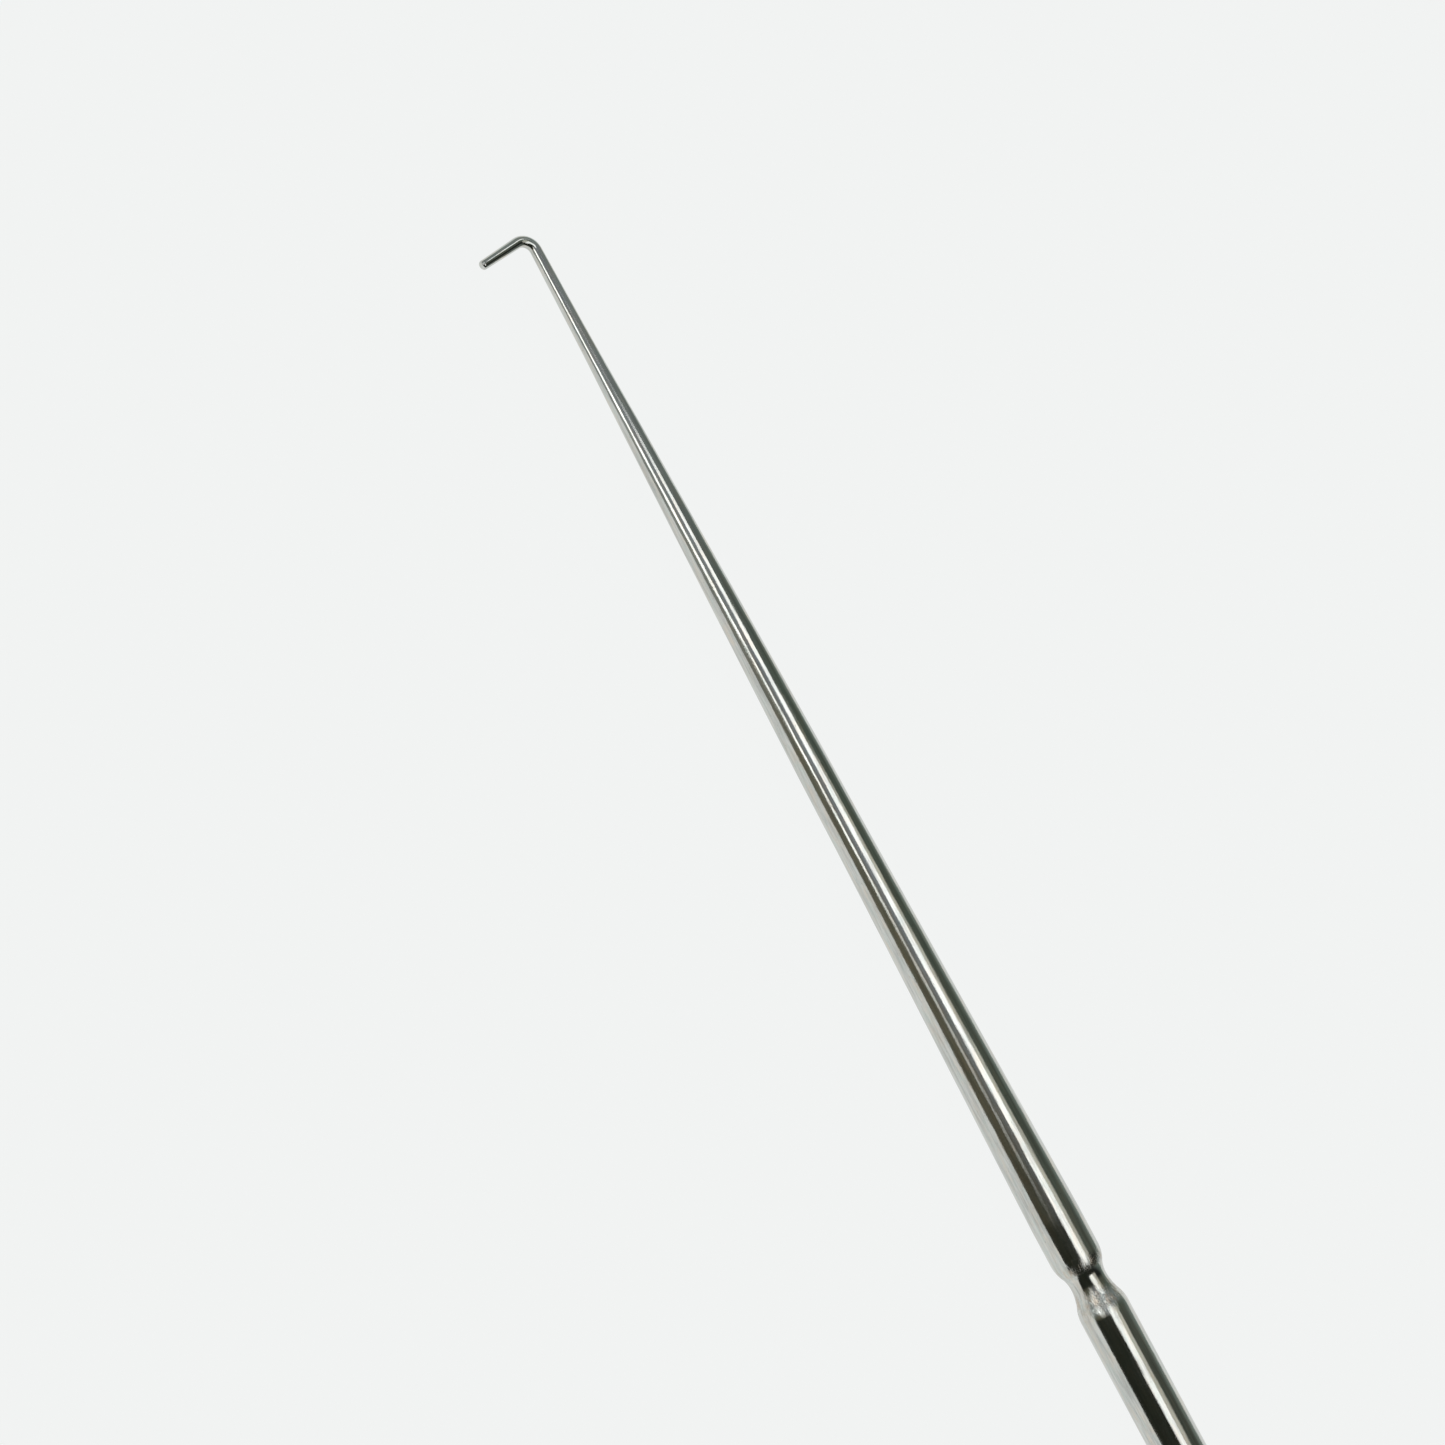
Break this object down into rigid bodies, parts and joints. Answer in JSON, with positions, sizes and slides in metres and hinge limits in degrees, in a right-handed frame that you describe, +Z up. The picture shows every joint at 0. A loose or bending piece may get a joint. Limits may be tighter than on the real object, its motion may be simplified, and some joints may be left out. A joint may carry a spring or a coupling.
{
  "type": "double-ended scriber",
  "caption": "Engineer's scriber with a long tapered hooked point at one end, a knurled grip between hexagonal collars, and a retractable carbide needle in a collet chuck at the other.",
  "frame": {"origin": "middle of the front collar's lower flat, on the surface that the tool lies on", "axes": "+X along the tool from the hooked point to the needle, +Z up; the hook points towards -Y and lies level"},
  "size_m": [0.2605, 0.0132, 0.01],
  "materials": {
    "point_steel": "ground and polished lengthwise",
    "barrel_steel": "ground and polished lengthwise",
    "needle_steel": "ground and polished",
    "grip_nickel": "knurled, satin nickel plate",
    "collar_nickel": "turned and milled, satin nickel plate",
    "nut_nickel": "knurled and turned, satin nickel plate",
    "collet_steel": "hardened spring steel, turned",
    "screw_steel": "black oxide",
    "stop_brass": "turned",
    "carbide": "diamond ground, dark grey"
  },
  "bodies": {
    "handle": {"hook_point": "point_steel", "joining_stud": "screw_steel", "barrel": "barrel_steel", "needle_stop": "stop_brass", "grip_sleeve": "grip_nickel", "front_collar": "collar_nickel", "rear_collar": "collar_nickel", "front_set_screw": "screw_steel", "rear_set_screw": "screw_steel"},
    "collet": {"collet": "collet_steel"},
    "chuck_nut": {"chuck_nut": "nut_nickel"},
    "needle": {"needle": "needle_steel", "carbide_tip": "carbide"}
  },
  "joints": [
    {"name": "collet_travel", "type": "slide", "parent": "handle", "child": "collet", "axis": [1, 0, 0], "range_m": [0, 0.001]},
    {"name": "chuck_nut_turn", "type": "hinge", "parent": "collet", "child": "chuck_nut", "pos_m": [0.065, 0, 0.005], "axis": [1, 0, 0], "range_deg": [0, 720]},
    {"name": "needle_slide", "type": "slide", "parent": "collet", "child": "needle", "axis": [1, 0, 0], "range_m": [-0.026, 0.02]}
  ],
  "couplings": [
    {"joint": "chuck_nut_turn", "follows": "collet_travel", "rad_per_m": 12566}
  ]
}
